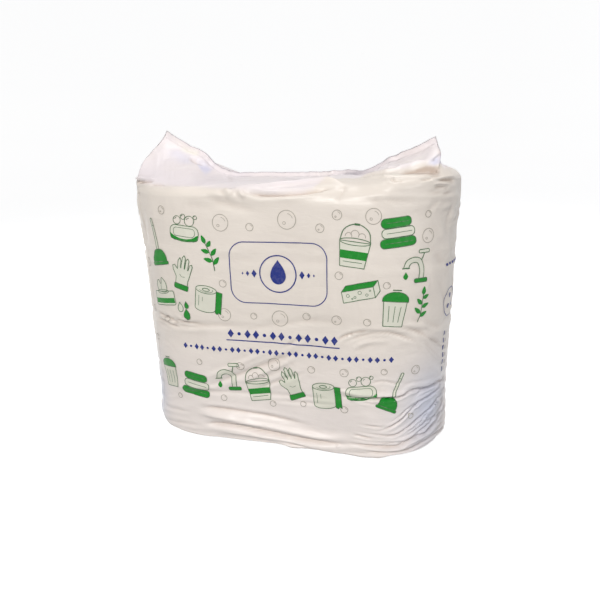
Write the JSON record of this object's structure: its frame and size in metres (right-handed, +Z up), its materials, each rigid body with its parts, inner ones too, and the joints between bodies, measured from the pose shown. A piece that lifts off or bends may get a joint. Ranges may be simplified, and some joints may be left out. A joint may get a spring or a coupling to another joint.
{
  "type": "toilet paper roll pack",
  "caption": "Sealed white film bag holding stacked jumbo toilet rolls: a stadium-shaped block that stands on its flat base, with two film ears standing up at the ends of its top seal.",
  "frame": {"origin": "middle of the flat base that the pack stands on", "axes": "+Z up, +X to the right along the two roll columns, the printed front faces -Y"},
  "size_m": [0.4738, 0.24, 0.453],
  "materials": {
    "white_film": "satin opaque white polyethylene film, soft sheen, fine wrinkles",
    "print_green": "green flexo ink on the film",
    "print_navy": "navy flexo ink on the film",
    "print_grey": "thin grey flexo ink on the film"
  },
  "bodies": {
    "root": {"wrapped_pack": "white_film"}
  },
  "joints": []
}
